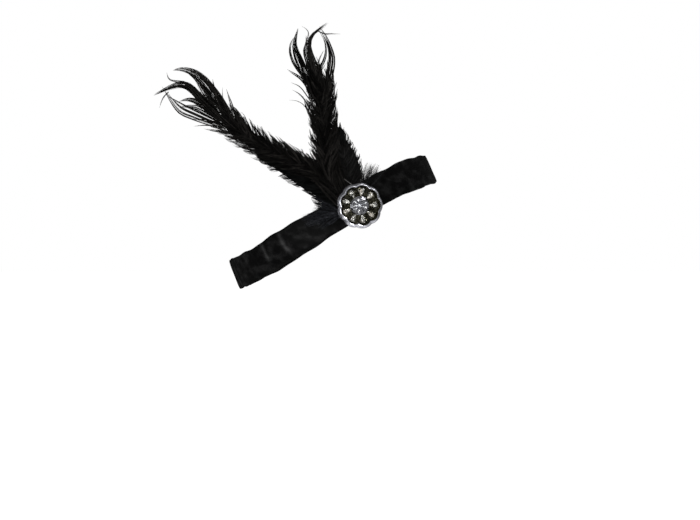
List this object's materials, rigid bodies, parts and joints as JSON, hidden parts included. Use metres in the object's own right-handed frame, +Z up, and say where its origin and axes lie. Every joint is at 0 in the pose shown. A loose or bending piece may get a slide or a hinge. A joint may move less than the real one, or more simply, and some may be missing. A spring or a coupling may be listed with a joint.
{
  "type": "flapper feather headband",
  "caption": "Black stretch-velvet headband, worn tilted, with a round scalloped rhinestone brooch at the right temple holding curled black plumes, flat feathers and tufts of down.",
  "frame": {"origin": "middle of the loop, where the head sits in it", "axes": "+X towards the wearer's front, +Y to the wearer's left, +Z up, with the band tilted as worn, front high"},
  "size_m": [0.2396, 0.1685, 0.2225],
  "materials": {
    "velvet": "black stretch velvet, short pile",
    "silver_setting": "polished silver-coloured plating",
    "smoky_stone": "smoky cut stone, foiled behind",
    "clear_stone": "clear cut stone, foiled behind",
    "plume": "black dyed plume, loose curled barbs",
    "pad_feather": "very black flat feather, soft sheen",
    "down": "soft grey and black down"
  },
  "bodies": {
    "root": {"band": "velvet", "brooch_setting": "silver_setting", "petal_stone_1": "smoky_stone", "petal_stone_2": "smoky_stone", "petal_stone_3": "smoky_stone", "petal_stone_4": "smoky_stone", "petal_stone_5": "smoky_stone", "petal_stone_6": "smoky_stone", "petal_stone_7": "smoky_stone", "petal_stone_8": "smoky_stone", "petal_stone_9": "smoky_stone", "drop_stone_1": "clear_stone", "drop_stone_2": "clear_stone", "drop_stone_3": "clear_stone", "drop_stone_4": "clear_stone", "drop_stone_5": "clear_stone", "drop_stone_6": "clear_stone", "drop_stone_7": "clear_stone", "drop_stone_8": "clear_stone", "drop_stone_9": "clear_stone", "inner_stone_1": "clear_stone", "inner_stone_2": "clear_stone", "inner_stone_3": "clear_stone", "inner_stone_4": "clear_stone", "inner_stone_5": "clear_stone", "inner_stone_6": "clear_stone", "inner_stone_7": "clear_stone", "inner_stone_8": "clear_stone", "inner_stone_9": "clear_stone", "centre_stone": "clear_stone", "plume_front": "plume", "plume_rear": "plume", "pad_feather_front": "pad_feather", "pad_feather_rear": "pad_feather", "down_tuft_front": "down", "down_tuft_rear": "down"}
  },
  "joints": []
}
